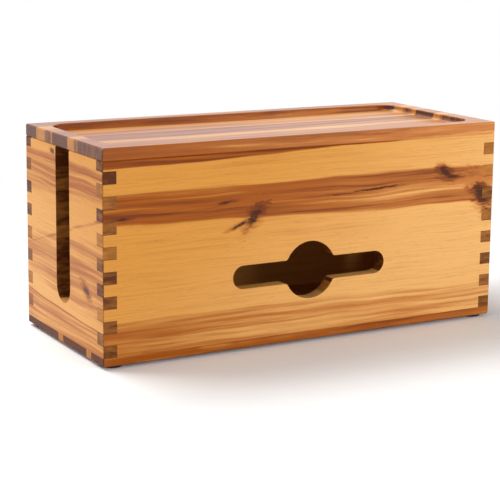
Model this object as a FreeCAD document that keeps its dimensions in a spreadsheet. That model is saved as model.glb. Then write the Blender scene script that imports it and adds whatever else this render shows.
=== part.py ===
import FreeCAD, Part
import math
import os
import re

import Sketcher
from FreeCAD import Placement, Rotation, Vector

# Cable management box of solid acacia. Four wall panels meet in finger joints, a bottom board
# of three glued staves is screwed on from below, and a loose lid of three glued staves, with a
# tray routed into its top, is kept in place by two battens. Millimetres, +Z up, origin on the
# floor under the middle of the box, +X along its length, front face towards -Y.

# The driving sizes. The sheet holds each one once, under this name.
SIZES = {
    "length": 400.0,
    "depth": 170.0,
    "wall_height": 166.0,
    "wall_thickness": 12.5,
    "finger_height": 10.5,
    "corner_round": 1.5,
    "wall_top_ease": 0.8,
    "end_slot_width": 30.0,
    "end_slot_foot": 29.5,
    "cutout_length": 156.0,
    "cutout_height": 21.0,
    "cutout_middle": 52.0,
    "cutout_centre": 56.0,
    "cutout_fillet": 3.0,
    "bottom_thickness": 7.5,
    "bottom_ease": 1.2,
    "bottom_front_joint": 26.0,
    "bottom_back_joint": 87.0,
    "bottom_screw_length": 25.0,
    "bottom_screw_shank": 3.5,
    "bottom_screw_head": 7.0,
    "bottom_screw_spacing": 150.0,
    "end_screw_spacing": 84.0,
    "lid_thickness": 11.0,
    "lid_ease": 1.0,
    "lid_front_joint": 51.0,
    "lid_back_joint": 107.0,
    "rim_width": 15.0,
    "tray_depth": 5.5,
    "tray_corner": 18.0,
    "tray_cove": 3.0,
    "tray_lip": 1.5,
    "batten_width": 14.0,
    "batten_height": 8.0,
    "batten_clearance": 0.75,
    "batten_ease": 1.0,
    "batten_screw_length": 11.0,
    "batten_screw_shank": 3.0,
    "batten_screw_head": 6.0,
    "batten_screw_spacing": 160.0,
    "screw_clearance": 0.2,
    "foot_diameter": 20.0,
    "foot_height": 2.5,
    "foot_inset": 12.5,
    "foot_draft": 0.6,
}

# Heights and lengths worked out from the driving sizes, as formulas for the sheet.
WALL_BASE = "foot_height + bottom_thickness"
LID_BASE = "foot_height + bottom_thickness + wall_height"
BATTEN_LENGTH = "length - 2 * wall_thickness - 2 * batten_clearance"
BATTEN_Y = "depth / 2 - wall_thickness - batten_clearance"
# How near two places count as the same.
CLOSE = 0.001
# What every dimension of a sketch measures as it is drawn, until its formula counts.
DRAWN = 5.0
# A screw's flat sides, which keep the many screws to few faces.
SCREW_SIDES = 12

DOC =FreeCAD.newDocument("cable_management_box")


def make_sheet():
    """Put the driving sizes in a spreadsheet, one named cell each."""
    sheet = DOC.addObject("Spreadsheet::Sheet", "Sizes")
    for row, (name, size) in enumerate(SIZES.items(), start=1):
        sheet.set(f"A{row}", name)
        sheet.set(f"B{row}", str(size))
        sheet.setAlias(f"B{row}", name)
    DOC.recompute()


def in_sheet(formula):
    """The same formula with every size read from the sheet."""
    return re.sub(r"[a-z_]+", lambda word: "Sizes." + word[0] if word[0] in SIZES else word[0], formula)


def bind(thing, **formulas):
    """Tie properties of an object to formulas of the sheet's sizes."""
    for name, formula in formulas.items():
        thing.setExpression(name, in_sheet(formula))


def place(thing, x="0", y="0", z="0", turn=None):
    """Turn an object by a rotation, then tie its position to three formulas."""
    thing.Placement = Placement(Vector(), turn or Rotation())
    for axis, formula in zip("xyz", (x, y, z)):
        thing.setExpression("Placement.Base." + axis, in_sheet(formula))


def new_body(label):
    """An empty body for one piece."""
    body = DOC.addObject("PartDesign::Body", label)
    body.Label = label
    return body


def origin_part(body, role):
    """One of the body's own origin planes or axes."""
    return next(part for part in body.Origin.OriginFeatures if part.Role == role)


def new_sketch(body, plane, name, height=None):
    """A sketch on one of the body's origin planes, or parallel to it at a height."""
    sketch = body.newObject("Sketcher::SketchObject", f"{body.Name}_{name}")
    sketch.AttachmentSupport = [(origin_part(body, plane), "")]
    sketch.MapMode = "FlatFace"
    if height:
        sketch.setExpression("AttachmentOffset.Base.z", in_sheet(height))
    return sketch


def measure(sketch, kind, *where, size):
    """A dimension of a sketch, tied to a formula."""
    number = sketch.addConstraint(Sketcher.Constraint(kind, *where, DRAWN))
    sketch.setExpression(f"Constraints[{number}]", in_sheet(size))


def pin_point(sketch, element, point, x, y):
    """Hold a point of a sketch at two formulas from the sketch's origin."""
    for kind, axis, size in (("DistanceX", -2, x), ("DistanceY", -1, y)):
        if size == "0":
            sketch.addConstraint(Sketcher.Constraint("PointOnObject", element, point, axis))
        else:
            measure(sketch, kind, -1, 1, element, point, size=size)


def draw_rectangle(sketch, x, y, width, height):
    """A rectangle with its lower left corner at x, y."""
    first = sketch.GeometryCount
    corners = [Vector(1, 1, 0), Vector(9, 1, 0), Vector(9, 9, 0), Vector(1, 9, 0)]
    for start, end in zip(corners, corners[1:] + corners[:1]):
        sketch.addGeometry(Part.LineSegment(start, end), False)
    for side in range(4):
        following = first + (side + 1) % 4
        direction = ("Horizontal", "Vertical")[side % 2]
        sketch.addConstraint(Sketcher.Constraint("Coincident", first + side, 2, following, 1))
        sketch.addConstraint(Sketcher.Constraint(direction, first + side))
    pin_point(sketch, first, 1, x, y)
    measure(sketch, "DistanceX", first, 1, first, 2, size=width)
    measure(sketch, "DistanceY", first + 1, 1, first + 1, 2, size=height)


def draw_circle(sketch, x, y, diameter):
    """A circle with its centre at x, y."""
    number = sketch.addGeometry(Part.Circle(Vector(5, 5, 0), Vector(0, 0, 1), 2), False)
    pin_point(sketch, number, 3, x, y)
    measure(sketch, "Diameter", number, size=diameter)


def draw_obround(sketch, centre, distance, diameter, upright):
    """A slot with round ends, lying or upright: one end's centre and the distance to the other's.

    It is drawn open, at the size that its dimensions have before their formulas count, and the
    second end is measured from the first. The solver can't reliably open a slot that starts shut.
    """
    turn = math.pi / 2 if upright else 0
    run = Vector(math.cos(turn), math.sin(turn), 0) * DRAWN
    side = Vector(-run.y, run.x, 0) / 2
    first = Vector(DRAWN, DRAWN, 0)
    last = first + run
    ends = [Part.Circle(middle, Vector(0, 0, 1), DRAWN / 2) for middle in (first, last)]
    loop = [
        Part.ArcOfCircle(ends[0], turn + math.pi / 2, turn + math.pi * 1.5),
        Part.LineSegment(first - side, last - side),
        Part.ArcOfCircle(ends[1], turn - math.pi / 2, turn + math.pi / 2),
        Part.LineSegment(last + side, first + side),
    ]
    numbers = [sketch.addGeometry(piece, False) for piece in loop]
    for before, after in zip(numbers, numbers[1:] + numbers[:1]):
        sketch.addConstraint(Sketcher.Constraint("Tangent", before, 2, after, 1))
    sketch.addConstraint(Sketcher.Constraint("Equal", numbers[0], numbers[2]))
    pin_point(sketch, numbers[0], 3, *centre)
    lined_up, measured = ("Vertical", "DistanceY") if upright else ("Horizontal", "DistanceX")
    sketch.addConstraint(Sketcher.Constraint(lined_up, numbers[0], 3, numbers[2], 3))
    measure(sketch, measured, numbers[0], 3, numbers[2], 3, size=distance)
    measure(sketch, "Diameter", numbers[0], size=diameter)


def pad(body, sketch, length):
    """Raise a sketch into a solid."""
    feature = body.newObject("PartDesign::Pad", f"{sketch.Name}_pad")
    feature.Profile = sketch
    bind(feature, Length=length)


def cut_through(body, sketch):
    """Cut a sketch through the body both ways."""
    feature = body.newObject("PartDesign::Pocket", f"{sketch.Name}_cut")
    feature.Profile = sketch
    feature.Type = "ThroughAll"
    feature.SideType = "Symmetric"
    return feature


def repeat_up(body, feature, spacing, count):
    """Repeat a cut upwards at a steady spacing."""
    pattern = body.newObject("PartDesign::LinearPattern", f"{feature.Name}_row")
    pattern.Originals = [feature]
    pattern.Direction = (origin_part(body, "Z_Axis"), [""])
    pattern.Mode = "Spacing"
    bind(pattern, Offset=spacing, Occurrences=count)
    body.Tip = pattern


def dress_edges(body, kind, sizes, chosen):
    """Fillet or chamfer the edges of the body's last feature that a test picks."""
    DOC.recompute()
    last = body.Tip
    names = [f"Edge{number}" for number, edge in enumerate(last.Shape.Edges, start=1) if chosen(edge)]
    if not names:
        raise ValueError(f"{body.Label}: no edge to dress after {last.Name}")
    dressed = body.newObject(f"PartDesign::{kind}", f"{last.Name}_{kind}")
    dressed.Base = (last, names)
    bind(dressed, **sizes)


def round_edges(body, radius, chosen):
    """Round the edges that a test picks."""
    dress_edges(body, "Fillet", {"Radius": radius}, chosen)


def ease_edges(body, size, chosen):
    """Take the sharpness off the edges that a test picks."""
    dress_edges(body, "Chamfer", {"Size": size}, chosen)


def along(edge, axis):
    """Whether an edge is straight and runs along one axis."""
    if not isinstance(edge.Curve, Part.Line):
        return False
    return abs(abs(getattr(edge.Curve.Direction, axis)) - 1) < CLOSE


def at(edge, **places):
    """Whether a whole edge lies at the given coordinates."""
    box = edge.BoundBox
    found = {"x": (box.XMin, box.XMax), "y": (box.YMin, box.YMax), "z": (box.ZMin, box.ZMax)}
    return all(abs(side - place) < CLOSE for axis, place in places.items() for side in found[axis])


def drill(body, sketch, diameter, depth=None, head=None):
    """Holes from the sketched face into the body, countersunk where a head is given."""
    DOC.recompute()
    hole = body.newObject("PartDesign::Hole", f"{sketch.Name}_holes")
    hole.Profile = sketch
    DOC.recompute()
    before = body.Shape.Volume
    hole.Reversed = True
    hole.DrillPoint = "Flat"
    hole.DepthType = "Dimension" if depth else "ThroughAll"
    bind(hole, Diameter=diameter)
    if depth:
        bind(hole, Depth=depth)
    if head:
        hole.HoleCutType = "Countersink"
        hole.HoleCutCountersinkAngle = 90
        bind(hole, HoleCutDiameter=head)
    DOC.recompute()
    if not hole.Shape.Volume < before:
        raise ValueError(f"{hole.Name} cuts nothing")


def wall_blank(label, width):
    """A plain upright panel, its outer face on y = 0, with rounded corners and an eased top."""
    body = new_body(label)
    plan = new_sketch(body, "XY_Plane", "plan")
    draw_rectangle(plan, "0", "0", width, "wall_thickness")
    pad(body, plan, "wall_height")
    round_edges(body, "corner_round", lambda edge: along(edge, "z") and at(edge, y=0))
    ease_edges(body, "wall_top_ease", lambda edge: at(edge, z=SIZES["wall_height"]))
    return body


def cut_fingers(body, width, first_height, count):
    """Cut the corner notches that the neighbouring panels' fingers fill."""
    notches = new_sketch(body, "XZ_Plane", "notches")
    for left in ("0", f"{width} - wall_thickness"):
        draw_rectangle(notches, left, first_height, "wall_thickness", "finger_height")
    repeat_up(body, cut_through(body, notches), "2 * finger_height", count)


def wall_screw_holes(body, places):
    """Pilot holes in the foot of a panel for the bottom board's screws."""
    holes = new_sketch(body, "XY_Plane", "pilots")
    for x in places:
        draw_circle(holes, x, "wall_thickness / 2", "bottom_screw_shank")
    drill(
        body,
        holes,
        "bottom_screw_shank + screw_clearance",
        "bottom_screw_length - bottom_thickness + screw_clearance",
    )


def long_wall_screws(middle):
    """Places along a long wall of its three bottom screws."""
    return [f"{middle} - bottom_screw_spacing", middle, f"{middle} + bottom_screw_spacing"]


def end_wall_screws(middle):
    """Places along an end wall of its two bottom screws, clear of the cord slot."""
    return [f"{middle} - end_screw_spacing / 2", f"{middle} + end_screw_spacing / 2"]


def long_panel(label):
    """A front or back panel: its fingers are the full ones between the end panels' fingers."""
    body = wall_blank(label, "length")
    cut_fingers(body, "length", "0", "ceil(wall_height / (2 * finger_height))")
    wall_screw_holes(body, long_wall_screws("length / 2"))
    return body


def front_panel():
    """The front panel, with the cord cut-out: a long slot that widens to a circle in the middle."""
    body = long_panel("front_panel")
    reach = "(cutout_length - cutout_height)"
    slot = new_sketch(body, "XZ_Plane", "slot")
    end = f"length / 2 - {reach} / 2", "cutout_centre"
    draw_obround(slot, end, reach, "cutout_height", upright=False)
    cut_through(body, slot)
    middle = new_sketch(body, "XZ_Plane", "middle")
    draw_circle(middle, "length / 2", "cutout_centre", "cutout_middle")
    cut_through(body, middle)
    half_height = SIZES["cutout_height"] / 2
    half_chord = math.sqrt((SIZES["cutout_middle"] / 2) ** 2 - half_height**2)

    def where_they_meet(edge):
        across = abs(edge.BoundBox.Center.x - SIZES["length"] / 2)
        up = abs(edge.BoundBox.Center.z - SIZES["cutout_centre"])
        return along(edge, "y") and abs(across - half_chord) < CLOSE and abs(up - half_height) < CLOSE

    round_edges(body, "cutout_fillet", where_they_meet)
    place(body, "-length / 2", "-depth / 2", WALL_BASE)
    return body


def back_panel():
    """The back panel, plain, turned to face the other way."""
    body = long_panel("back_panel")
    place(body, "length / 2", "depth / 2", WALL_BASE, Rotation(Vector(0, 0, 1), 180))
    return body


def end_panel(label, side, turn):
    """An end panel with a cord slot, round at its foot and open at the top."""
    body = wall_blank(label, "depth")
    cut_fingers(body, "depth", "finger_height", "ceil((wall_height - finger_height) / (2 * finger_height))")
    slot = new_sketch(body, "XZ_Plane", "slot")
    foot = "depth / 2", "end_slot_foot + end_slot_width / 2"
    past_the_top = "wall_height - end_slot_foot + end_slot_width / 2"
    draw_obround(slot, foot, past_the_top, "end_slot_width", upright=True)
    cut_through(body, slot)
    wall_screw_holes(body, end_wall_screws("depth / 2"))
    place(body, f"{side} * length / 2", f"{-side} * depth / 2", WALL_BASE, Rotation(Vector(0, 0, 1), turn))
    return body


def bottom_blank():
    """The whole bottom board, eased round its underside and drilled for its screws."""
    body = new_body("bottom_blank")
    plan = new_sketch(body, "XY_Plane", "plan")
    draw_rectangle(plan, "0", "0", "length", "depth")
    pad(body, plan, "bottom_thickness")
    round_edges(body, "corner_round", lambda edge: along(edge, "z"))
    ease_edges(body, "bottom_ease", lambda edge: at(edge, z=0))
    holes = new_sketch(body, "XY_Plane", "screws")
    for x in long_wall_screws("length / 2"):
        for y in ("wall_thickness / 2", "depth - wall_thickness / 2"):
            draw_circle(holes, x, y, "bottom_screw_shank")
    for x in ("wall_thickness / 2", "length - wall_thickness / 2"):
        for y in end_wall_screws("depth / 2"):
            draw_circle(holes, x, y, "bottom_screw_shank")
    drill(body, holes, "bottom_screw_shank + screw_clearance", head="bottom_screw_head + screw_clearance")
    place(body, "-length / 2", "-depth / 2", "foot_height")
    return body


def lid_blank():
    """The whole lid: eased edges, a tray with a coved floor, and pilot holes under it."""
    body = new_body("lid_blank")
    plan = new_sketch(body, "XY_Plane", "plan")
    draw_rectangle(plan, "0", "0", "length", "depth")
    pad(body, plan, "lid_thickness")
    top = SIZES["lid_thickness"]
    floor = top - SIZES["tray_depth"]
    round_edges(body, "corner_round", lambda edge: along(edge, "z"))
    ease_edges(body, "lid_ease", lambda edge: at(edge, z=top))
    ease_edges(body, "wall_top_ease", lambda edge: at(edge, z=0))
    tray = new_sketch(body, "XY_Plane", "tray", height="lid_thickness")
    draw_rectangle(tray, "rim_width", "rim_width", "length - 2 * rim_width", "depth - 2 * rim_width")
    pocket = body.newObject("PartDesign::Pocket", "tray")
    pocket.Profile = tray
    bind(pocket, Length="tray_depth")
    tray_width = SIZES["length"] - 2 * SIZES["rim_width"]

    def tray_corner(edge):
        middle = edge.BoundBox.Center
        across = abs(middle.x - SIZES["length"] / 2)
        return along(edge, "z") and middle.z > floor and abs(across - tray_width / 2) < CLOSE

    def inside(edge):
        return edge.BoundBox.XMin > SIZES["rim_width"] - CLOSE and edge.BoundBox.XMax < (
            SIZES["length"] - SIZES["rim_width"] + CLOSE
        )

    round_edges(body, "tray_corner", tray_corner)
    round_edges(body, "tray_cove", lambda edge: at(edge, z=floor) and inside(edge))
    round_edges(body, "tray_lip", lambda edge: at(edge, z=top) and inside(edge))
    holes = new_sketch(body, "XY_Plane", "pilots")
    for x in batten_screws("length / 2"):
        for y in batten_middles("depth / 2"):
            draw_circle(holes, x, y, "batten_screw_shank")
    drill(
        body,
        holes,
        "batten_screw_shank + screw_clearance",
        "batten_screw_length - batten_height + screw_clearance",
    )
    place(body, "-length / 2", "-depth / 2", LID_BASE)
    return body


def batten_screws(middle):
    """Places along a batten of its three screws."""
    return [f"{middle} - batten_screw_spacing", middle, f"{middle} + batten_screw_spacing"]


def batten_middles(middle):
    """Where the middle lines of the two battens run across the lid."""
    return [f"{middle} - ({BATTEN_Y} - batten_width / 2)", f"{middle} + ({BATTEN_Y} - batten_width / 2)"]


def stave(label, blank, base, start, width, thickness):
    """One glued stave: the part of a finished board between two glue lines."""
    strip = DOC.addObject("Part::Box", f"{label}_strip")
    bind(strip, Length="length", Width=width, Height=thickness)
    place(strip, "-length / 2", f"{start} - depth / 2", base)
    piece = DOC.addObject("Part::Common", label)
    piece.Label = label
    piece.Base = blank
    piece.Tool = strip
    return piece


def glued_board(name, blank, base, thickness):
    """The three staves of a board, cut at its two glue lines."""
    front, back = f"{name}_front_joint", f"{name}_back_joint"
    return [
        stave(f"{name}_front_stave", blank, base, "0", front, thickness),
        stave(f"{name}_middle_stave", blank, base, front, f"{back} - {front}", thickness),
        stave(f"{name}_back_stave", blank, base, back, f"depth - {back}", thickness),
    ]


def lid_batten(label, side):
    """A batten under the lid that drops just inside the walls."""
    body = new_body(label)
    plan = new_sketch(body, "XY_Plane", "plan")
    draw_rectangle(plan, "0", "0", BATTEN_LENGTH, "batten_width")
    pad(body, plan, "batten_height")
    ease_edges(body, "batten_ease", lambda edge: at(edge, z=0))
    holes = new_sketch(body, "XY_Plane", "screws")
    for x in batten_screws(f"({BATTEN_LENGTH}) / 2"):
        draw_circle(holes, x, "batten_width / 2", "batten_screw_shank")
    drill(body, holes, "batten_screw_shank + screw_clearance", head="batten_screw_head + screw_clearance")
    edge = f"-({BATTEN_Y})" if side < 0 else f"{BATTEN_Y} - batten_width"
    place(body, f"-({BATTEN_LENGTH}) / 2", edge, f"{LID_BASE} - batten_height")
    return body


def wood_screw(name, shank, head, length):
    """A countersunk wood screw, head down on z = 0, lofted through flat-sided rings."""
    rings = [
        (head, "0"),
        (shank, f"({head} - {shank}) / 2"),
        (shank, f"{length} - {shank}"),
        (f"{shank} / 4", length),
    ]
    sections = []
    for number, (diameter, height) in enumerate(rings, start=1):
        ring = DOC.addObject("Part::RegularPolygon", f"{name}_ring_{number}")
        ring.Polygon = SCREW_SIDES
        bind(ring, Circumradius=f"{diameter} / 2")
        place(ring, z=height)
        sections.append(ring)
    screw = DOC.addObject("Part::Loft", name)
    screw.Sections = sections
    screw.Solid = True
    screw.Ruled = True
    return screw


def screw_group(label, screw, places, height):
    """The same screw at every place, as one piece of the list."""
    copies = []
    for number, (x, y) in enumerate(places, start=1):
        copy = DOC.addObject("App::Link", f"{label}_{number}")
        copy.LinkedObject = screw
        copy.LinkTransform = False
        place(copy, x, y, height)
        copies.append(copy)
    group = DOC.addObject("Part::Compound", label)
    group.Label = label
    group.Links = copies
    return group


def rubber_foot(label, side_x, side_y):
    """A round rubber foot stuck under one corner, a little narrower at the floor."""
    body = new_body(label)
    outline = new_sketch(body, "XZ_Plane", "outline")
    top = "foot_diameter / 2"
    corners = [("0", "0"), (f"{top} - foot_draft", "0"), (top, "foot_height"), ("0", "foot_height")]
    start = [Vector(0, 0, 0), Vector(8, 0, 0), Vector(9, 3, 0), Vector(0, 3, 0)]
    for here, following in zip(start, start[1:] + start[:1]):
        outline.addGeometry(Part.LineSegment(here, following), False)
    for number, corner in enumerate(corners):
        outline.addConstraint(Sketcher.Constraint("Coincident", (number - 1) % 4, 2, number, 1))
        pin_point(outline, number, 1, *corner)
    turned = body.newObject("PartDesign::Revolution", f"{label}_turned")
    turned.Profile = outline
    turned.ReferenceAxis = (outline, ["V_Axis"])
    turned.Angle = 360
    place(body, f"{side_x} * (length / 2 - foot_inset)", f"{side_y} * (depth / 2 - foot_inset)")
    return body


def make_box():
    """Every piece of the box, in the order in which it is put together."""
    pieces = [front_panel(), back_panel()]
    pieces += [end_panel("left_end_panel", -1, -90), end_panel("right_end_panel", 1, 90)]
    pieces += glued_board("bottom", bottom_blank(), "foot_height", "bottom_thickness")
    pieces += glued_board("lid", lid_blank(), LID_BASE, "lid_thickness")
    pieces += [lid_batten("lid_front_batten", -1), lid_batten("lid_back_batten", 1)]
    across = [f"{side} * (depth - wall_thickness) / 2" for side in (-1, 1)]
    along_box = [f"{side} * (length - wall_thickness) / 2" for side in (-1, 1)]
    long_walls = [(x, y) for x in long_wall_screws("0") for y in across]
    end_walls = [(x, y) for y in end_wall_screws("0") for x in along_box]
    screw =wood_screw("bottom_screw", "bottom_screw_shank", "bottom_screw_head", "bottom_screw_length")
    pieces.append(screw_group("bottom_screws", screw, long_walls + end_walls, "foot_height"))
    battens = [(x, y) for x in batten_screws("0") for y in batten_middles("0")]
    screw = wood_screw("batten_screw", "batten_screw_shank", "batten_screw_head", "batten_screw_length")
    pieces.append(screw_group("batten_screws", screw, battens, f"{LID_BASE} - batten_height"))
    for end, side_x in (("left", -1), ("right", 1)):
        pieces += [rubber_foot(f"front_{end}_foot", side_x, -1), rubber_foot(f"back_{end}_foot", side_x, 1)]
    return pieces


def check(pieces):
    """Stop if any object of the document failed, or a piece has no sound solid."""
    DOC.recompute()
    failed = [thing.Name for thing in DOC.Objects if {"Invalid", "Error"} & set(thing.State)]
    if failed:
        raise ValueError(f"failed objects: {failed}")
    for piece in pieces:
        if piece.Shape.isNull() or not piece.Shape.isValid() or not piece.Shape.Solids:
            raise ValueError(f"{piece.Label} has no sound solid")


def write(pieces):
    """One STEP file for each piece, named after it."""
    os.makedirs("parts", exist_ok=True)
    for piece in pieces:
        piece.Shape.exportStep(f"parts/{piece.Label}.step")
        print(f"{piece.Label}: {len(piece.Shape.Solids)} solid(s), {piece.Shape.Volume:.0f} mm3")


make_sheet()
PIECES = make_box()
check(PIECES)
write(PIECES)
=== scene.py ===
import math

import bmesh
import bpy
from mathutils import Matrix, Vector


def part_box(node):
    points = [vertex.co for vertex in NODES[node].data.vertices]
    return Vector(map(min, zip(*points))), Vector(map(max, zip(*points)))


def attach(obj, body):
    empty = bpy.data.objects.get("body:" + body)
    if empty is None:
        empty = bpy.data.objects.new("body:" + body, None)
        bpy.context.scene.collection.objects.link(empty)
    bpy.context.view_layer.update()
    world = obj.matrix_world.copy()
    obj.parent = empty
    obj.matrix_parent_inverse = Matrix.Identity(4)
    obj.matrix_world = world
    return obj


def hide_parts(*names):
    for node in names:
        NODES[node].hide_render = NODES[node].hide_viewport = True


bl_info = {
    "name": "Acacia Cable Box",
    "version": (1, 0, 0),
    "blender": (4, 5, 0),
    "location": "3D View > Sidebar > Cable Box",
    "description": "Finishes a finger-jointed acacia cable box with a loose lid",
    "category": "Object",
}

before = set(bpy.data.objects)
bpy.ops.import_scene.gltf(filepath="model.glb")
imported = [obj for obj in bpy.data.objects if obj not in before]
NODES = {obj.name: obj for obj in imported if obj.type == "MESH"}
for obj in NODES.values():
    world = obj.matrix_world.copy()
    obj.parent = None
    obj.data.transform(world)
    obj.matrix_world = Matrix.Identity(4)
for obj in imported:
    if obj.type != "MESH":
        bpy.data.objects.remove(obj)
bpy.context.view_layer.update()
MM = 0.001

# For each way a board lies: the axis along its grain, the one across its face and the one
# through it.
LONG_WALL = ("X", "Z", "Y")
END_WALL = ("Y", "Z", "X")
LYING = ("X", "Y", "Z")

# Half the box, and its finger joints: where the lowest starts, how high each is and how far it
# reaches in from a corner. They are in millimetres, as are all sizes of the wood's figure below.
HALF_LENGTH = 200.0
HALF_DEPTH = 85.0
FIRST_FINGER = 10.0
FINGER = 10.5
FINGER_REACH = 12.5

# Marks of the wood: how long each is with the grain, and how wide. The fine lines and the pores
# are wider than real ones, so that they show.
DRIFT = (120.0, 60.0)
STRIPES = (170.0, 3.8)
CLOUDS = (80.0, 24.0)
FINE_LINES = (60.0, 0.8)
PORES = (9.0, 0.6)
KNOT_EDGE = (6.0, 2.4)
GROWTH_RINGS = (11.0, 3.2)

# How wide a strip the bands wander in.
WANDER = 9.0
# Painted light: boards are painted paler along the grain, towards the end where they are lit more, and
# walls paler downwards too: how many millimetres along count as much as one downwards, and the height
# from which they count.
LIT_PAINT_TILT = 1.5
LIT_PAINT_HEIGHT = 90.0

# Heartwood bands: lower edge and upper edge, each as its height at the middle of the board and
# its slope, then how soft the edges are and how strong the band is.
FRONT_BANDS = (
    ((117.3, -0.022), (147.8, 0.007), 2.2, 0.9),
    ((-50.0, 0.0), (37.0, -0.012), 1.6, 0.48),
    ((173.6, 0.021), (260.0, 0.0), 0.9, 1.3),
    ((131.6, 0.025), (133.2, 0.025), 1.0, 1.3),
)
BACK_BANDS = (
    ((60.0, 0.03), (92.0, -0.01), 3.0, 0.8),
    ((140.0, 0.01), (260.0, 0.0), 2.4, 0.85),
)
LEFT_END_BANDS = (
    ((-50.0, 0.0), (31.0, 0.03), 1.0, 0.55),
    ((31.5, 0.03), (33.5, 0.03), 1.0, 0.95),
    ((44.0, 0.1), (98.0, -0.12), 5.0, 0.42),
    ((101.0, -0.3), (104.0, -0.3), 1.6, 0.6),
    ((134.0, -0.05), (166.0, 0.02), 4.0, 0.55),
)
RIGHT_END_BANDS = (
    ((88.0, -0.05), (118.0, 0.02), 4.0, 0.7),
    ((-50.0, 0.0), (24.0, 0.0), 2.0, 0.8),
)
BOTTOM_BANDS = {
    "bottom_front_stave": (((-90.0, 0.0), (-59.5, 0.0), 0.8, 0.9),),
    "bottom_middle_stave": (((-49.0, 0.0), (2.0, 0.0), 1.2, 0.85),),
    "bottom_back_stave": (((13.0, 0.0), (90.0, 0.0), 1.2, 0.8),),
}
LID_BANDS = {
    "lid_front_stave": (((-90.0, 0.0), (-20.0, 0.0), 0.8, 0.55),),
    "lid_middle_stave": (
        ((-10.0, 0.01), (30.0, 0.0), 2.0, 0.85),
        ((-34.0, 0.0), (-24.0, 0.02), 4.0, 0.5),
    ),
    "lid_back_stave": (
        ((58.0, -0.01), (90.0, 0.0), 1.5, 0.9),
        ((28.0, 0.01), (40.0, 0.0), 5.0, 0.5),
    ),
}
BATTEN_BANDS = (((-90.0, 0.0), (90.0, 0.0), 1.0, 0.45),)

# Knots: place along and across the board, half length, half height and turn in radians.
FRONT_KNOTS = (
    (-58, 117.5, 11, 4.4, 0.85),
    (-72, 112.5, 10, 1.6, 0.35),
    (144, 143.5, 7, 3.8, -0.7),
    (152, 138.5, 9, 1.6, 0.0),
    (187, 118, 15, 6.5, -1.05),
    (-182, 126.5, 6, 1.3, 0.0),
    (-84, 133.6, 8, 1.2, 0.1),
    (70, 133.6, 26, 0.9, 0.05),
    (-149, 6.5, 9, 1.8, -0.15),
)
BACK_KNOTS = ((70, 78, 13, 5.0, 0.5), (-120, 148, 9, 3.2, -0.3))
LEFT_END_KNOTS = ((-51, 60, 8, 3.4, 0.6), (22, 171, 5, 2.4, 0.2))
RIGHT_END_KNOTS = ((40, 104, 9, 4.0, -0.4),)

# How light the end grain is at each step of a corner, from the lowest up: 0 is heartwood. A
# panel's own fingers are every second step, and 0.2 stands at the steps between them.
FRONT_FINGERS = (0.2, 0.35, 0.2, 0.9, 0.2, 0.05, 0.2, 0.25, 0.2, 0.85, 0.2, 0.05, 0.2, 0.6, 0.2, 0.15)
BACK_FINGERS = (0.2, 0.5, 0.2, 0.8, 0.2, 0.3, 0.2, 0.75, 0.2, 0.2, 0.2, 0.05, 0.2, 0.3, 0.2, 0.1)
LEFT_FINGERS = (0.15, 0.2, 0.3, 0.2, 0.25, 0.2, 0.1, 0.2, 0.65, 0.2, 0.48, 0.2, 0.55, 0.2, 0.0, 0.2)
RIGHT_FINGERS = (0.3, 0.2, 0.5, 0.2, 0.25, 0.2, 0.45, 0.2, 0.6, 0.2, 0.3, 0.2, 0.95, 0.2, 0.6, 0.2)

# Screws of each CAD node: the body they ride on, shank, head and length, and how many.
SCREWS = {
    "bottom_screws": ("box", 3.5, 7.0, 25.0, 10),
    "batten_screws": ("lid", 3.0, 6.0, 11.0, 6),
}
FEET = ("front_left_foot", "front_right_foot", "back_left_foot", "back_right_foot")

# The main lamp stands behind on the left, so that the shadow falls forwards and to the right.
# Each lamp: place, size, power, and whether it shows in the varnish or only lights the box.
LAMPS = {
    "back_lamp": ((-0.6, 1.0, 1.8), (1.7, 0.8), 46.0, True),
    "front_lamp": ((1.0, -1.9, 0.55), (1.0, 0.8), 29.0, False),
    "left_lamp": ((-1.9, -0.2, 0.5), (1.0, 0.8), 10.0, False),
}
LAMP_AIM = (0.0, 0.0, 0.1)

# The camera: its place in metres, its turns in radians, its lens and sensor in millimetres, and
# its vertical shift as a share of the frame.
CAMERA_PLACE = (-0.71152, -1.24012, 0.37566)
CAMERA_YAW, CAMERA_PITCH, CAMERA_ROLL = 0.5122, -0.1807, 0.0103
CAMERA_LENS = 112.92
CAMERA_SENSOR = 36.0
CAMERA_SHIFT = -0.1


def to_linear(code):
    """An sRGB hex colour as the linear colour that a shader socket takes."""
    parts = [int(code[i : i + 2], 16) / 255 for i in (1, 3, 5)]
    return [*(v / 12.92 if v <= 0.04045 else ((v + 0.055) / 1.055) ** 2.4 for v in parts), 1.0]


def colour_setting(name, description, code):
    """A colour that a user can change, with its default as sRGB hex."""
    return bpy.props.FloatVectorProperty(
        name=name,
        description=description,
        subtype="COLOR",
        size=4,
        min=0,
        max=1,
        default=to_linear(code),
    )


class CableBoxWood(bpy.types.PropertyGroup):
    """Colours and finish of the acacia."""

    gold: colour_setting("Sapwood", "The golden sapwood of most boards", "#D3903C")
    # Painted light: the sapwood colour where a board is painted paler, towards its better lit end.
    lit_gold: colour_setting("Pale sapwood", "Sapwood where a board grows paler", "#ECB56E")
    heart: colour_setting("Heartwood", "The brown heartwood bands along the boards", "#9C4F0A")
    # Painted light: the heartwood colour where a board is painted paler, towards its better lit end.
    lit_heart: colour_setting("Pale heartwood", "Heartwood where a board grows paler", "#C67A3A")
    deep: colour_setting("Deep heartwood", "The darkest streaks of heartwood, and pores", "#6E310B")
    dark: colour_setting("Knots", "The dark brown of knots and glue lines", "#3E1A08")
    end_light: colour_setting("Light end grain", "Sapwood on a sawn end", "#B4722E")
    end_dark: colour_setting("Dark end grain", "Heartwood on a sawn end", "#54260A")
    gloss: bpy.props.FloatProperty(
        name="Varnish",
        description="How strong the coat of varnish is",
        subtype="FACTOR",
        min=0,
        max=1,
        default=0.35,
    )


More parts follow.
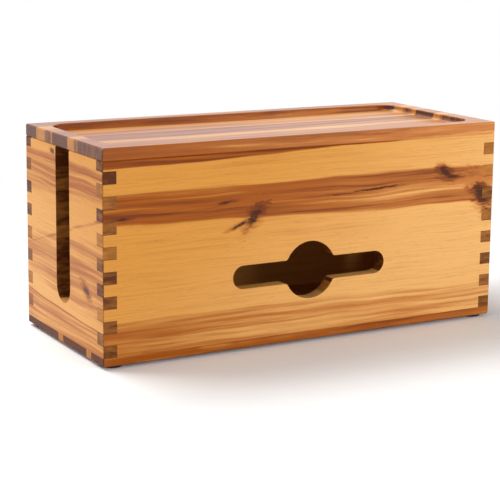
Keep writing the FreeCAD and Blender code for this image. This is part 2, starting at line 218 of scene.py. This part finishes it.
class CableBoxParts(bpy.types.PropertyGroup):
    """Sizes of the small parts that repeat."""

    recess: bpy.props.FloatProperty(
        name="Recess",
        description="Span of the cross recess in the head of a bottom screw",
        unit="LENGTH",
        default=3.6 * MM,
    )
    foot_edge: bpy.props.FloatProperty(
        name="Foot edge",
        description="Rounding of a rubber foot's lower edge",
        unit="LENGTH",
        default=0.7 * MM,
    )


def add(tree, kind, terms=(), **settings):
    """Add a node with its settings. Each term is a socket's value or the link it reads.

    Terms are a list, for the first sockets in order, or a dictionary by the socket's name or number.
    """
    node = tree.nodes.new(kind)
    for name, setting in settings.items():
        setattr(node, name, setting)
    for socket, term in terms.items() if isinstance(terms, dict) else enumerate(terms):
        if isinstance(term, bpy.types.NodeSocket):
            tree.links.new(term, node.inputs[socket])
        else:
            node.inputs[socket].default_value = term
    return node


def new_material(name):
    """An empty node material with its output and shader."""
    material = bpy.data.materials.new(name)
    material.use_nodes = True
    tree = material.node_tree
    tree.nodes.clear()
    shader = add(tree, "ShaderNodeBsdfPrincipled")
    add(tree, "ShaderNodeOutputMaterial", {"Surface": shader.outputs[0]})
    return material, tree, shader


def grain_noise(tree, place, mark, detail, seed):
    """Noise on a place in the board, in marks of a given length with the grain and width."""
    run, across = mark
    scale = (1 / run, 1 / across, 1 / across)
    spot = add(
        tree,
        "ShaderNodeMapping",
        {"Vector": place, "Location": (seed, seed * 1.7, 0.0), "Scale": scale},
    )
    noise = {"Vector": spot.outputs[0], "Scale": 1.0, "Detail": detail}
    return add(tree, "ShaderNodeTexNoise", noise).outputs[0]


def band_share(tree, u, v, band):
    """How much of a heartwood band is here: its strength between its two edges."""
    low, high, soft, strength = band
    shares = []
    for (height, slope), under, over in ((low, 0.0, strength), (high, 1.0, 0.0)):
        level = add(tree, "ShaderNodeMath", [u, -slope, v], operation="MULTIPLY_ADD").outputs[0]
        step = [level, height - soft, height + soft, under, over]
        share = add(tree, "ShaderNodeMapRange", step, interpolation_type="SMOOTHSTEP")
        shares.append(share.outputs[0])
    return add(tree, "ShaderNodeMath", shares, operation="MULTIPLY").outputs[0]


def largest(tree, shares):
    """The largest of several shares, or 0."""
    result = shares[0] if shares else 0.0
    for share in shares[1:]:
        result = add(tree, "ShaderNodeMath", [result, share], operation="MAXIMUM").outputs[0]
    return result


def knot_marks(tree, u, v, board, knots, seed):
    """How dark the knots are here, how brown the wood round them, and how far they bend the grain."""
    if not knots:
        return 0.0, 0.0, 0.0
    edge = grain_noise(tree, board, KNOT_EDGE, 4.0, seed + 5)
    uneven = 2.4
    terms = [edge, uneven, -uneven / 2]
    ragged = add(tree, "ShaderNodeMath", terms, operation="MULTIPLY_ADD").outputs[0]
    face = add(tree, "ShaderNodeCombineXYZ", [u, v]).outputs[0]
    cores, halos, swell = [], [], 0.0
    for along, across, half_length, half_height, turn in knots:
        # A slanted oval, where a reach of 1 is its edge. The dark core fades out round that
        # edge, and the brown halo further out.
        oval = {
            "Vector": face,
            "Location": (along, across, 0.0),
            "Rotation": (0.0, 0.0, turn),
            "Scale": (half_length, half_height, 1.0),
        }
        spot = add(tree, "ShaderNodeMapping", oval, vector_type="TEXTURE").outputs[0]
        reach = add(tree, "ShaderNodeVectorMath", [spot], operation="LENGTH").outputs["Value"]
        reach = add(tree, "ShaderNodeMath", [reach, ragged], operation="ADD").outputs[0]
        for shares, inner, outer in ((cores, 0.45, 1.2), (halos, 0.8, 2.6)):
            step = [reach, inner, outer, 1.0, 0.0]
            share = add(tree, "ShaderNodeMapRange", step, interpolation_type="SMOOTHSTEP")
            shares.append(share.outputs[0])
        off = add(tree, "ShaderNodeMath", [v, across], operation="SUBTRACT").outputs[0]
        off = add(tree, "ShaderNodeMath", [off, halos[-1]], operation="MULTIPLY").outputs[0]
        swell = add(tree, "ShaderNodeMath", [off, 0.4, swell], operation="MULTIPLY_ADD").outputs[0]
    return largest(tree, cores), largest(tree, halos), swell


def finger_tones(tree, height, tones):
    """One tone for each step of a corner, from the lowest up."""
    top = FIRST_FINGER + FINGER * len(tones)
    share = add(tree, "ShaderNodeMath", [height, 1 / top], operation="MULTIPLY").outputs[0]
    node = add(tree, "ShaderNodeValToRGB", [share])
    ramp = node.color_ramp
    ramp.interpolation = "CONSTANT"
    ramp.elements.remove(ramp.elements[1])
    for number, tone in enumerate(tones):
        place = (FIRST_FINGER + FINGER * number) / top if number else 0.0
        stop = ramp.elements.new(place) if number else ramp.elements[0]
        stop.position = place
        stop.color = (tone, tone, tone, 1.0)
    return node.outputs[0]


def glue_lines(tree, colour, spot, wood):
    """Thin dark lines between the fingers at the four corners of the walls."""
    raised = add(tree, "ShaderNodeMath", [spot["Z"], FIRST_FINGER], operation="SUBTRACT").outputs[0]
    off = add(tree, "ShaderNodeMath", [raised, FINGER / 2], operation="PINGPONG").outputs[0]
    steps = [[off, 0.12, 0.45, 1.0, 0.0]]
    for axis, half in (("X", HALF_LENGTH), ("Y", HALF_DEPTH)):
        out = add(tree, "ShaderNodeMath", [spot[axis]], operation="ABSOLUTE").outputs[0]
        steps.append([out, half - FINGER_REACH - 0.1, half - FINGER_REACH + 0.1, 0.0, 1.0])
    line = 0.6
    for step in steps:
        share = add(tree, "ShaderNodeMapRange", step, interpolation_type="SMOOTHSTEP").outputs[0]
        line = add(tree, "ShaderNodeMath", [line, share], operation="MULTIPLY").outputs[0]
    mixed = add(tree, "ShaderNodeMix", {0: line, 6: colour, 7: wood.dark}, data_type="RGBA")
    return mixed.outputs[2]


def end_grain(tree, board_end, seed, wood, tone):
    """Colour of a sawn end, where the wood drinks more varnish: its tone with arcs of rings."""
    arcs = grain_noise(tree, board_end, GROWTH_RINGS, 4.0, seed + 31)
    contrast = 1.3
    tone = add(tree, "ShaderNodeMath", [arcs, contrast, tone], operation="MULTIPLY_ADD").outputs[0]
    tone = add(tree, "ShaderNodeMath", [tone, -contrast / 2], operation="ADD").outputs[0]
    ends = {0: tone, 6: wood.end_dark, 7: wood.end_light}
    return add(tree, "ShaderNodeMix", ends, data_type="RGBA").outputs[2]


def varnished_acacia(
    name, axes, seed, wood, bands=(), knots=(), tones=(), brown=0.0, lit_side=0.3, rough=0.42, coat=0.4
):
    """Acacia under clear varnish, planed and sanded.

    Wide heartwood bands wander through golden sapwood, with fine streaks and short dark pores
    along the grain, and the ends show darker, closer grain. The varnish gives a soft, even shine.
    """
    material, tree, shader = new_material(name)
    source = add(tree, "ShaderNodeTexCoord").outputs
    metres = {0: source["Object"], "Scale": 1 / MM}
    millimetres = add(tree, "ShaderNodeVectorMath", metres, operation="SCALE").outputs[0]
    spot = add(tree, "ShaderNodeSeparateXYZ", [millimetres]).outputs
    facing = add(tree, "ShaderNodeSeparateXYZ", [source["Normal"]]).outputs
    u, v, w = (spot[axis] for axis in axes)
    board = add(tree, "ShaderNodeCombineXYZ", [u, v, w]).outputs[0]
    board_end = add(tree, "ShaderNodeCombineXYZ", [w, v, u]).outputs[0]

    # The grain swells round each knot and wanders a little.
    knot, halo, swell = knot_marks(tree, u, v, board, knots, seed)
    bowed = add(tree, "ShaderNodeMath", [v, swell], operation="SUBTRACT").outputs[0]
    round_knots = add(tree, "ShaderNodeCombineXYZ", [u, bowed, w]).outputs[0]
    drift = grain_noise(tree, round_knots, DRIFT, 2.0, seed)
    off = [drift, WANDER, -WANDER / 2]
    off = add(tree, "ShaderNodeMath", off, operation="MULTIPLY_ADD").outputs[0]
    moved = add(tree, "ShaderNodeMath", [bowed, off], operation="ADD").outputs[0]
    figure = add(tree, "ShaderNodeCombineXYZ", [u, moved, w]).outputs[0]
    stripes = grain_noise(tree, figure, STRIPES, 5.0, seed + 11)
    fine = grain_noise(tree, figure, FINE_LINES, 3.0, seed + 17)
    clouds = grain_noise(tree, figure, CLOUDS, 2.0, seed + 23)
    step = [grain_noise(tree, board, PORES, 1.0, seed + 29), 0.64, 0.74]
    pores = add(tree, "ShaderNodeMapRange", step, interpolation_type="SMOOTHSTEP").outputs[0]

    # How brown the wood is: most in the bands, where the stripes are strongest too.
    heart = largest(tree, [band_share(tree, u, moved, band) for band in bands])
    depth = add(tree, "ShaderNodeMath", [heart, 1.5, 0.7], operation="MULTIPLY_ADD").outputs[0]
    swing = add(tree, "ShaderNodeMath", [stripes, 0.5], operation="SUBTRACT").outputs[0]
    share = add(tree, "ShaderNodeMath", [swing, depth], operation="MULTIPLY").outputs[0]
    cloudy = 0.3
    for mark, weight in ((heart, 0.68), (clouds, cloudy), (halo, 0.3)):
        share = add(tree, "ShaderNodeMath", [mark, weight, share], operation="MULTIPLY_ADD").outputs[0]
    share = add(tree, "ShaderNodeMath", [share, brown - cloudy / 2], operation="ADD").outputs[0]

    # Sapwood and heartwood, each painted paler towards one side of the board: along the grain this is
    # painted light, paler where the board is lit more, and the walls are also paler downwards.
    tilt = 0.0 if axes == LYING else LIT_PAINT_TILT
    level = add(tree, "ShaderNodeMath", [v, -tilt, u], operation="MULTIPLY_ADD").outputs[0]
    middle = -tilt * LIT_PAINT_HEIGHT
    step = [level, middle - HALF_LENGTH, middle + HALF_LENGTH, 0.0, lit_side]
    lit_share = add(tree, "ShaderNodeMapRange", step, interpolation_type="SMOOTHSTEP").outputs[0]
    kinds = []
    for full, lit in ((wood.gold, wood.lit_gold), (wood.heart, wood.lit_heart)):
        kind = add(tree, "ShaderNodeMix", {0: lit_share, 6: full, 7: lit}, data_type="RGBA")
        kinds.append(kind.outputs[2])
    sapwood, heartwood = kinds

    # Layers over the sapwood: heartwood, its deep streaks, fine lines, pores and knots.
    layers = []
    for value, low, high, most, over, way in (
        (share, 0.0, 0.6, 1.0, heartwood, "MIX"),
        (share, 0.6, 1.1, 0.9, wood.deep, "MIX"),
        (fine, 0.45, 0.75, 0.22, wood.heart, "MULTIPLY"),
    ):
        step = [value, low, high, 0.0, most]
        amount = add(tree, "ShaderNodeMapRange", step, interpolation_type="SMOOTHSTEP")
        layers.append((amount.outputs[0], over, way))
    amount = add(tree, "ShaderNodeMath", [pores, 0.22], operation="MULTIPLY").outputs[0]
    layers.append((amount, wood.deep, "MIX"))
    depth = add(tree, "ShaderNodeMath", [fine, 0.7, 0.55], operation="MULTIPLY_ADD").outputs[0]
    amount = add(tree, "ShaderNodeMath", [knot, depth], operation="MULTIPLY").outputs[0]
    layers.append((amount, wood.dark, "MIX"))
    colour = sapwood
    for amount, over, way in layers:
        terms = {0: amount, 6: colour, 7: over}
        colour = add(tree, "ShaderNodeMix", terms, data_type="RGBA", blend_type=way).outputs[2]

    # The sawn ends, whose tone is the fingers' own or follows the bands.
    if tones:
        tone = finger_tones(tree, v, tones)
    else:
        tone = add(tree, "ShaderNodeMath", [heart, -1.7, 1.0], operation="MULTIPLY_ADD").outputs[0]
    end = end_grain(tree, board_end, seed, wood, tone)
    along = add(tree, "ShaderNodeMath", [facing[axes[0]]], operation="ABSOLUTE").outputs[0]
    step = [along, 0.45, 0.6]
    on_end = add(tree, "ShaderNodeMapRange", step, interpolation_type="SMOOTHSTEP").outputs[0]
    colour = add(tree, "ShaderNodeMix", {0: on_end, 6: colour, 7: end}, data_type="RGBA").outputs[2]
    if axes != LYING:
        colour = glue_lines(tree, colour, spot, wood)
    tree.links.new(colour, shader.inputs["Base Color"])

    # Fine lines and sawn ends are rougher, and the pores are shallow pits.
    lined = 0.16
    roughness = rough - lined / 2
    for mark, weight in ((fine, lined), (on_end, 0.12)):
        terms = [mark, weight, roughness]
        roughness = add(tree, "ShaderNodeMath", terms, operation="MULTIPLY_ADD").outputs[0]
    tree.links.new(roughness, shader.inputs["Roughness"])
    height = add(tree, "ShaderNodeMath", [fine, 0.4], operation="MULTIPLY").outputs[0]
    height = add(tree, "ShaderNodeMath", [pores, -0.9, height], operation="MULTIPLY_ADD").outputs[0]
    bump = add(tree, "ShaderNodeBump", {"Strength": 0.15, "Distance": 0.1 * MM, "Height": height})
    tree.links.new(bump.outputs[0], shader.inputs["Normal"])
    shader.inputs["IOR"].default_value = 1.5
    shader.inputs["Specular IOR Level"].default_value = 0.15
    shader.inputs["Coat Weight"].default_value = wood.gloss * coat
    shader.inputs["Coat Roughness"].default_value = 0.22
    return material


def mottled(name, mark, detail, colours, rough, bump_strength, bump_depth):
    """A material with a fine skin: marks of one width that change its tone, gloss and height."""
    material, tree, shader = new_material(name)
    source = add(tree, "ShaderNodeTexCoord").outputs["Object"]
    noise = {"Vector": source, "Scale": 1 / (mark * MM), "Detail": detail}
    skin = add(tree, "ShaderNodeTexNoise", noise).outputs[0]
    tones = {0: skin, 6: to_linear(colours[0]), 7: to_linear(colours[1])}
    tone = add(tree, "ShaderNodeMix", tones, data_type="RGBA").outputs[2]
    tree.links.new(tone, shader.inputs["Base Color"])
    gloss = add(tree, "ShaderNodeMath", [skin, 0.2, rough], operation="MULTIPLY_ADD").outputs[0]
    tree.links.new(gloss, shader.inputs["Roughness"])
    height = {"Strength": bump_strength, "Distance": bump_depth * MM, "Height": skin}
    tree.links.new(add(tree, "ShaderNodeBump", height).outputs[0], shader.inputs["Normal"])
    return material, shader


def zinc_steel():
    """Zinc-plated steel, rolled and plated: a cool, slightly blue shine with mottling 2 mm wide."""
    colours = ("#B4B8BC", "#D3D6D8")
    material, shader = mottled("zinc_plated_steel", 2.0, 3.0, colours, 0.22, 0.1, 0.05)
    shader.inputs["Metallic"].default_value = 1.0
    return material


def black_rubber():
    """Moulded black rubber: dull and dark, with a pebbled skin.

    The pebbles are 0.6 mm wide, coarser than the real ones so that they show.
    """
    colours = ("#161616", "#262524")
    return mottled("moulded_black_rubber", 0.6, 2.0, colours, 0.6, 0.3, 0.1)[0]


def finish_node(name, material):
    """Give a CAD piece its finish."""
    data = NODES[name].data
    data.materials.clear()
    data.materials.append(material)


def turned(profile, sides, start=0.0):
    """A closed mesh turned about Z from a half outline that starts and ends on the axis."""
    shape = bmesh.new()
    rings = []
    for radius, z in profile:
        if radius == 0:
            rings.append([shape.verts.new((0, 0, z))])
        else:
            turns = (start + 2 * math.pi * k / sides for k in range(sides))
            spots = ((radius * math.cos(turn), radius * math.sin(turn), z) for turn in turns)
            rings.append([shape.verts.new(spot) for spot in spots])
    for low, high in zip(rings, rings[1:]):
        for k in range(sides):
            lower = [low[k % len(low)], low[(k + 1) % len(low)]]
            upper = [high[(k + 1) % len(high)], high[k % len(high)]]
            shape.faces.new(list(dict.fromkeys(lower + upper)))
    bmesh.ops.recalc_face_normals(shape, faces=shape.faces)
    mesh = bpy.data.meshes.new("turned")
    shape.to_mesh(mesh)
    shape.free()
    return mesh


def cross(span, width):
    """The twelve corners of a cross, anticlockwise from the lower corner of its right arm."""
    arm, half = span / 2, width / 2
    corners = [(arm, -half), (arm, half), (half, half)]
    places = []
    for _ in range(4):
        places += corners
        corners = [(-y, x) for x, y in corners]
    return places


def screw_shape(shank, head, length, recess):
    """A countersunk wood screw, head down on z = 0, with a cross recess and rings for the thread."""
    deep = 0.9 * MM
    pitch = 1.4 * MM
    root = 0.39 * shank
    under_head = (head - shank) / 2
    profile = [(0, deep), (0.3 * recess, deep), (0.5 * recess, 0.0)]
    profile += [(head / 2, 0.0), (shank / 2, under_head)]
    z = under_head + pitch
    while z < length - shank:
        profile += [(root, z), (shank / 2, z + 0.3 * pitch)]
        z += pitch
    profile += [(0.3 * shank, length - shank), (0, length)]
    floor, mouth = cross(0.7 * recess, 0.2 * recess), cross(recess, 0.28 * recess)
    sides = len(floor)
    mesh = turned(profile, sides, -math.pi / sides)
    # The first vertex is on the axis. The two rings after it become the recess's floor and mouth.
    for number, (x, y) in enumerate(floor + mouth, start=1):
        mesh.vertices[number].co.xy = x, y
    return mesh


def stand_on(name, shape, places, material):
    """Copies of one shape at every place, made by Geometry Nodes and turned into one plain mesh."""
    points = bpy.data.meshes.new(f"{name}_places")
    points.from_pydata(places, [], [])
    holder = bpy.data.objects.new(f"{name}_holder", points)
    model = bpy.data.objects.new(f"{name}_model", shape)
    for thing in (holder, model):
        bpy.context.scene.collection.objects.link(thing)

    tree = bpy.data.node_groups.new(f"{name}_copies", "GeometryNodeTree")
    tree.is_modifier = True
    sockets = tree.interface
    sockets.new_socket("Geometry", in_out="INPUT", socket_type="NodeSocketGeometry")
    one = sockets.new_socket("One piece", in_out="INPUT", socket_type="NodeSocketObject")
    size = sockets.new_socket("Size", in_out="INPUT", socket_type="NodeSocketFloat")
    sockets.new_socket("Geometry", in_out="OUTPUT", socket_type="NodeSocketGeometry")
    given = add(tree, "NodeGroupInput").outputs
    piece = add(tree, "GeometryNodeObjectInfo", {"Object": given["One piece"]})
    copies = {
        "Points": given["Geometry"],
        "Instance": piece.outputs["Geometry"],
        "Scale": given["Size"],
    }
    copies = add(tree, "GeometryNodeInstanceOnPoints", copies).outputs[0]
    whole = add(tree, "GeometryNodeRealizeInstances", {"Geometry": copies}).outputs[0]
    finish = {"Geometry": whole, "Material": material}
    finished = add(tree, "GeometryNodeSetMaterial", finish).outputs[0]
    add(tree, "NodeGroupOutput", {"Geometry": finished})

    modifier = holder.modifiers.new("copies", "NODES")
    modifier.node_group = tree
    modifier[one.identifier] = model
    modifier[size.identifier] = 1.0
    bpy.context.view_layer.update()
    evaluated = holder.evaluated_get(bpy.context.evaluated_depsgraph_get())
    mesh = bpy.data.meshes.new_from_object(evaluated)
    mesh.name = name
    if not mesh.polygons:
        raise RuntimeError(f"{name} has no faces")
    for thing in (holder, model):
        bpy.data.objects.remove(thing)
    made = bpy.data.objects.new(name, mesh)
    bpy.context.scene.collection.objects.link(made)
    for face in mesh.polygons:
        face.use_smooth = True
    mesh.set_sharp_from_angle(angle=math.radians(35))
    return made


def screw_places(node, head):
    """Where the screws of a CAD node stand: the middle of each head's lowest ring."""
    vertices = NODES[node].data.vertices
    low = min(vertex.co.z for vertex in vertices)
    heads = []
    for spot in (vertex.co.xy.copy() for vertex in vertices if vertex.co.z <= low + 0.01 * MM):
        near = [ring for ring in heads if (spot - ring[0]).length < 1.1 * head]
        if near:
            near[0].append(spot)
        else:
            heads.append([spot])
    places = []
    for ring in heads:
        xs, ys = [spot.x for spot in ring], [spot.y for spot in ring]
        places.append(((min(xs) + max(xs)) / 2, (min(ys) + max(ys)) / 2, low))
    return places


class CABLEBOX_OT_long_walls(bpy.types.Operator):
    """Finish the front and back panels"""

    bl_idname = "cablebox.long_walls"
    bl_label = "Long walls"

    def execute(self, context):
        wood = context.scene.cable_box_wood
        front = (FRONT_BANDS, FRONT_KNOTS, FRONT_FINGERS)
        back = (BACK_BANDS, BACK_KNOTS, BACK_FINGERS)
        # Painted light: the front is painted much paler towards its right end, where it is lit more.
        front = varnished_acacia("varnished_acacia_front", LONG_WALL, 3.0, wood, *front, lit_side=0.85)
        back = varnished_acacia("varnished_acacia_back", LONG_WALL, 41.0, wood, *back)
        finish_node("front_panel", front)
        finish_node("back_panel", back)
        return {"FINISHED"}


class CABLEBOX_OT_end_walls(bpy.types.Operator):
    """Finish the two end panels"""

    bl_idname = "cablebox.end_walls"
    bl_label = "End walls"

    def execute(self, context):
        wood = context.scene.cable_box_wood
        left = (LEFT_END_BANDS, LEFT_END_KNOTS, LEFT_FINGERS)
        right = (RIGHT_END_BANDS, RIGHT_END_KNOTS, RIGHT_FINGERS)
        left = varnished_acacia("varnished_acacia_left", END_WALL, 7.0, wood, *left, lit_side=0.6)
        right = varnished_acacia("varnished_acacia_right", END_WALL, 57.0, wood, *right)
        finish_node("left_end_panel", left)
        finish_node("right_end_panel", right)
        return {"FINISHED"}


class CABLEBOX_OT_bottom(bpy.types.Operator):
    """Finish the bottom board's three staves"""

    bl_idname = "cablebox.bottom"
    bl_label = "Bottom board"

    def execute(self, context):
        wood = context.scene.cable_box_wood
        for seed, (node, bands) in enumerate(BOTTOM_BANDS.items(), start=70):
            name = f"varnished_acacia_{node}"
            finish_node(node, varnished_acacia(name, LYING, float(seed), wood, bands))
        return {"FINISHED"}


class CABLEBOX_OT_lid(bpy.types.Operator):
    """Finish the lid's three staves and its two battens"""

    bl_idname = "cablebox.lid"
    bl_label = "Lid"

    def execute(self, context):
        wood = context.scene.cable_box_wood
        # Painted light: the lid is also painted paler towards its right end, where it is lit more.
        glossy = {"brown": 0.2, "lit_side": 0.95, "rough": 0.32, "coat": 1.0}
        for seed, (node, bands) in enumerate(LID_BANDS.items(), start=90):
            name = f"gloss_acacia_{node}"
            finish_node(node, varnished_acacia(name, LYING, float(seed), wood, bands, **glossy))
        batten = varnished_acacia("varnished_acacia_batten", LYING, 120.0, wood, BATTEN_BANDS)
        finish_node("lid_front_batten", batten)
        finish_node("lid_back_batten", batten)
        return {"FINISHED"}


class CABLEBOX_OT_screws(bpy.types.Operator):
    """Make the screws of the bottom board and of the battens"""

    bl_idname = "cablebox.screws"
    bl_label = "Screws"

    def execute(self, context):
        widest = max(head for _, _, head, _, _ in SCREWS.values())
        steel = zinc_steel()
        for node, (body, shank, head, length, count) in SCREWS.items():
            places = screw_places(node, head * MM)
            if len(places) != count:
                raise RuntimeError(f"{node} has {len(places)} places, not {count}")
            recess = context.scene.cable_box_parts.recess * head / widest
            shape = screw_shape(shank * MM, head * MM, length * MM, recess)
            group = stand_on(f"{node}_turned", shape, places, steel)
            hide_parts(node)
            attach(group, body)
        return {"FINISHED"}


class CABLEBOX_OT_feet(bpy.types.Operator):
    """Make the four rubber feet"""

    bl_idname = "cablebox.feet"
    bl_label = "Rubber feet"

    def execute(self, context):
        edge = context.scene.cable_box_parts.foot_edge
        draft, dish = 0.6 * MM, 0.35 * MM
        steps, sides = 5, 64
        rubber = black_rubber()
        for node in FEET:
            low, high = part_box(node)
            radius, top = (high.x - low.x) / 2, high.z - low.z
            foot = radius - draft
            # A shallow dish under the foot, a rounded lower edge and a sloping side, as moulded
            # ones have.
            profile = [(0, dish), (foot * 0.55, dish), (foot * 0.68, 0.0), (foot - edge, 0.0)]
            for k in range(1, steps + 1):
                turn = math.pi / 2 * k / steps
                out, up = edge * math.sin(turn), edge - edge * math.cos(turn)
                profile.append((foot - edge + out, up))
            profile += [(radius, top), (0, top)]
            middle = ((low.x + high.x) / 2, (low.y + high.y) / 2, low.z)
            piece = stand_on(f"{node}_rubber", turned(profile, sides), [middle], rubber)
            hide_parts(node)
            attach(piece, "box")
        return {"FINISHED"}


def soft_lamp(name, place, size, power, mirrored):
    """A large soft lamp that points at the box."""
    light = bpy.data.lights.new(name, "AREA")
    light.shape = "RECTANGLE"
    light.size, light.size_y = size
    light.energy = power
    lamp = bpy.data.objects.new(name, light)
    lamp.location = place
    lamp.rotation_euler = (Vector(LAMP_AIM) - Vector(place)).to_track_quat("-Z", "Y").to_euler()
    lamp.visible_glossy = mirrored
    bpy.context.scene.collection.objects.link(lamp)


def seen_share(tree):
    """1 where the camera, a mirror or glass looks, 0 for the light that falls on the box."""
    path = add(tree, "ShaderNodeLightPath").outputs
    return largest(tree, [path[f"Is {ray} Ray"] for ray in ("Camera", "Glossy", "Transmission")])


def white_paper():
    """Matt white paper: whiter to the camera than to the light, so that it keeps the shadow.

    Away from the box it turns to plain white for whatever sees it. Its fibres are far wider than
    real ones.
    """
    paper, tree, shader = new_material("matt_white_paper")
    source = add(tree, "ShaderNodeTexCoord").outputs["Object"]
    fibre_width = 2.5 * MM
    noise = {"Vector": source, "Scale": 1 / fibre_width, "Detail": 3.0}
    fibre = add(tree, "ShaderNodeTexNoise", noise).outputs[0]
    seen = seen_share(tree)
    tones = {0: seen, 6: to_linear("#E1E1E1"), 7: to_linear("#F4F4F4")}
    tone = add(tree, "ShaderNodeMix", tones, data_type="RGBA").outputs[2]
    tree.links.new(tone, shader.inputs["Base Color"])
    rough = add(tree, "ShaderNodeMath", [fibre, 0.1, 0.9], operation="MULTIPLY_ADD").outputs[0]
    tree.links.new(rough, shader.inputs["Roughness"])
    shader.inputs["Specular IOR Level"].default_value = 0.0
    away = add(tree, "ShaderNodeVectorMath", [source], operation="LENGTH").outputs["Value"]
    far = add(tree, "ShaderNodeMapRange", [away, 0.42, 0.85], interpolation_type="SMOOTHSTEP").outputs[0]
    white = add(tree, "ShaderNodeMath", [far, seen], operation="MULTIPLY").outputs[0]
    glow = add(tree, "ShaderNodeEmission", {"Color": to_linear("#FFFFFF"), "Strength": 1.0})
    both = add(tree, "ShaderNodeMixShader", [white, shader.outputs[0], glow.outputs[0]])
    tree.links.new(both.outputs[0], tree.get_output_node("ALL").inputs["Surface"])
    return paper


def white_studio():
    """A world that is white to what sees it, and a plain even light on the box."""
    world = bpy.data.worlds.new("white_studio")
    world.use_nodes = True
    tree = world.node_tree
    tree.nodes.clear()
    plain, seen = 0.36, 1.0
    terms = [seen_share(tree), seen - plain, plain]
    strength = add(tree, "ShaderNodeMath", terms, operation="MULTIPLY_ADD").outputs[0]
    sky = add(tree, "ShaderNodeBackground", {"Color": to_linear("#FFFFFF"), "Strength": strength})
    add(tree, "ShaderNodeOutputWorld", {"Surface": sky.outputs[0]})
    return world


class CABLEBOX_OT_stage(bpy.types.Operator):
    """Make the floor, the light and the camera"""

    bl_idname = "cablebox.stage"
    bl_label = "Stage"

    def execute(self, context):
        scene = context.scene
        mesh = bpy.data.meshes.new("floor")
        reach = 8.0
        corners = [(-reach, -reach, 0), (reach, -reach, 0), (reach, reach, 0), (-reach, reach, 0)]
        mesh.from_pydata(corners, [], [(0, 1, 2, 3)])
        mesh.materials.append(white_paper())
        floor = bpy.data.objects.new("floor", mesh)
        scene.collection.objects.link(floor)
        scene.world = white_studio()
        for name, (place, size, power, mirrored) in LAMPS.items():
            soft_lamp(name, place, size, power, mirrored)

        level = math.cos(CAMERA_PITCH)
        ahead = Vector(
            (math.sin(CAMERA_YAW) * level, math.cos(CAMERA_YAW) * level, math.sin(CAMERA_PITCH))
        )
        right = Vector((math.cos(CAMERA_YAW), -math.sin(CAMERA_YAW), 0.0))
        up = right.cross(ahead)
        c, s = math.cos(CAMERA_ROLL), math.sin(CAMERA_ROLL)
        turn = Matrix((right * c + up * s, up * c - right * s, -ahead)).transposed().to_4x4()
        lens = bpy.data.cameras.new("camera")
        lens.sensor_width = CAMERA_SENSOR
        lens.lens = CAMERA_LENS
        lens.shift_y = CAMERA_SHIFT
        camera = bpy.data.objects.new("camera", lens)
        camera.matrix_world = Matrix.Translation(CAMERA_PLACE) @ turn
        scene.collection.objects.link(camera)
        scene.camera = camera
        scene.view_settings.view_transform = "Standard"
        return {"FINISHED"}


STEPS = (
    CABLEBOX_OT_long_walls,
    CABLEBOX_OT_end_walls,
    CABLEBOX_OT_bottom,
    CABLEBOX_OT_lid,
    CABLEBOX_OT_screws,
    CABLEBOX_OT_feet,
    CABLEBOX_OT_stage,
)


class CABLEBOX_PT_panel(bpy.types.Panel):
    """The cable box's settings and steps"""

    bl_label = "Cable Box"
    bl_idname = "CABLEBOX_PT_panel"
    bl_space_type = "VIEW_3D"
    bl_region_type = "UI"
    bl_category = "Cable Box"

    def draw(self, context):
        for group in (context.scene.cable_box_wood, context.scene.cable_box_parts):
            for name in group.__annotations__:
                self.layout.prop(group, name)
        for step in STEPS:
            self.layout.operator(step.bl_idname)


CLASSES = (CableBoxWood, CableBoxParts, *STEPS, CABLEBOX_PT_panel)


def register():
    """Add the box's settings, steps and panel."""
    for item in CLASSES:
        bpy.utils.register_class(item)
    bpy.types.Scene.cable_box_wood = bpy.props.PointerProperty(type=CableBoxWood)
    bpy.types.Scene.cable_box_parts = bpy.props.PointerProperty(type=CableBoxParts)


def unregister():
    """Take the box's settings, steps and panel away again."""
    del bpy.types.Scene.cable_box_parts
    del bpy.types.Scene.cable_box_wood
    for item in reversed(CLASSES):
        bpy.utils.unregister_class(item)


def main():
    """Run every step in order."""
    register()
    bpy.ops.cablebox.long_walls()
    bpy.ops.cablebox.end_walls()
    bpy.ops.cablebox.bottom()
    bpy.ops.cablebox.lid()
    bpy.ops.cablebox.screws()
    bpy.ops.cablebox.feet()
    bpy.ops.cablebox.stage()


if __name__ == "__main__":
    main()
